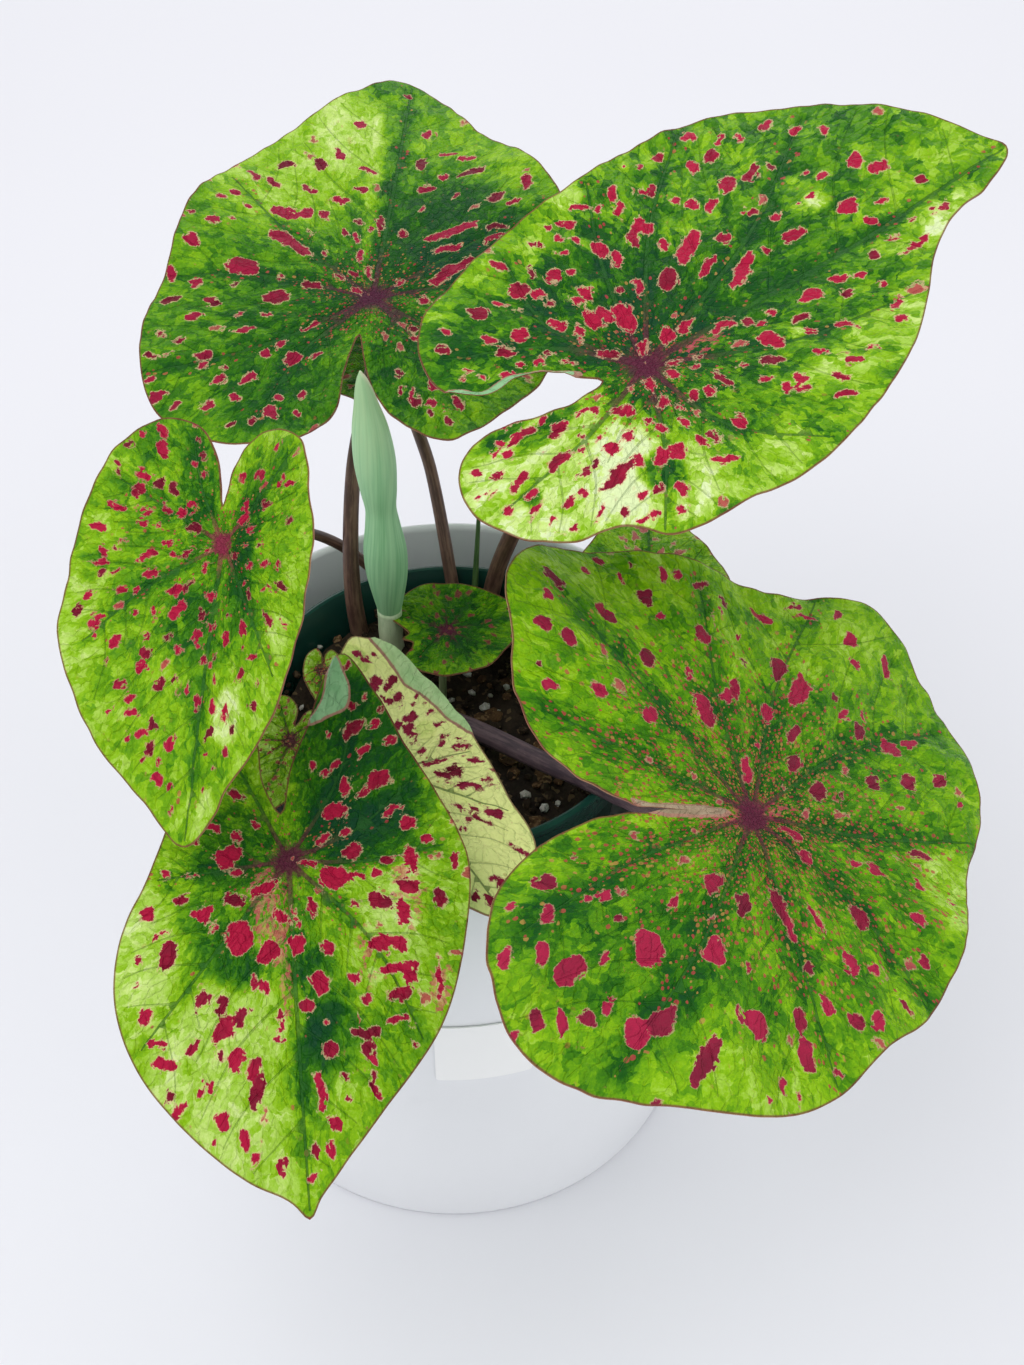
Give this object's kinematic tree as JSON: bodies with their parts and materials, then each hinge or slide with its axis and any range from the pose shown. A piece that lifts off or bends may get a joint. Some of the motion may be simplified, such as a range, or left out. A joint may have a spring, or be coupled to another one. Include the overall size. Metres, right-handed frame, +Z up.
{
  "type": "potted caladium",
  "caption": "Caladium in a dark nursery pot inside a plain white cover pot: spreading heart-shaped leaves on slender stalks round a furled spathe.",
  "frame": {"origin": "on the floor, under the middle of the pots, at the centre of the cover pot's flat bottom", "axes": "+Z up; -Y towards the viewer of the picture, with the blank label; +X to the right"},
  "size_m": [0.3289, 0.4813, 0.3994],
  "materials": {
    "leaf_green": "satin leaf, green with crimson spots",
    "leaf_lime": "satin leaf, lime green with crimson spots",
    "leaf_pale": "satin leaf, pale cream green with dark red flecks",
    "petiole_brown": "satin stalk, mottled brown",
    "petiole_purple": "satin stalk, dark purple",
    "petiole_green": "satin stalk, green",
    "spathe_green": "matt bloom, pale bluish green",
    "tuber_skin": "rough corky brown",
    "potting_soil": "crumbled, dark brown with white perlite",
    "green_plastic": "glossy moulded, dark green",
    "white_plastic": "satin moulded, white",
    "label_paper": "matt paper, blank"
  },
  "bodies": {
    "root": {"cover_pot": "white_plastic", "blank_label": "label_paper", "nursery_pot": "green_plastic", "potting_soil": "potting_soil", "tuber": "tuber_skin", "blade_back_left": "leaf_green", "blade_upper_right": "leaf_green", "blade_hanging_left": "leaf_lime", "blade_front_left": "leaf_lime", "blade_lower_right": "leaf_green", "blade_pale": "leaf_pale", "blade_low_centre": "leaf_green", "blade_behind": "leaf_green", "blade_small_left": "leaf_lime", "blade_tiny": "leaf_lime", "blade_hidden_back": "leaf_green", "petiole_back_left": "petiole_brown", "petiole_upper_right": "petiole_brown", "petiole_hanging_left": "petiole_brown", "petiole_front_left": "petiole_purple", "petiole_lower_right": "petiole_purple", "petiole_pale": "petiole_green", "petiole_low_centre": "petiole_green", "petiole_behind": "petiole_brown", "petiole_small_left": "petiole_green", "petiole_tiny": "petiole_green", "petiole_hidden_back": "petiole_brown", "peduncle": "spathe_green", "spathe": "spathe_green", "young_sheath": "petiole_green"}
  },
  "joints": []
}
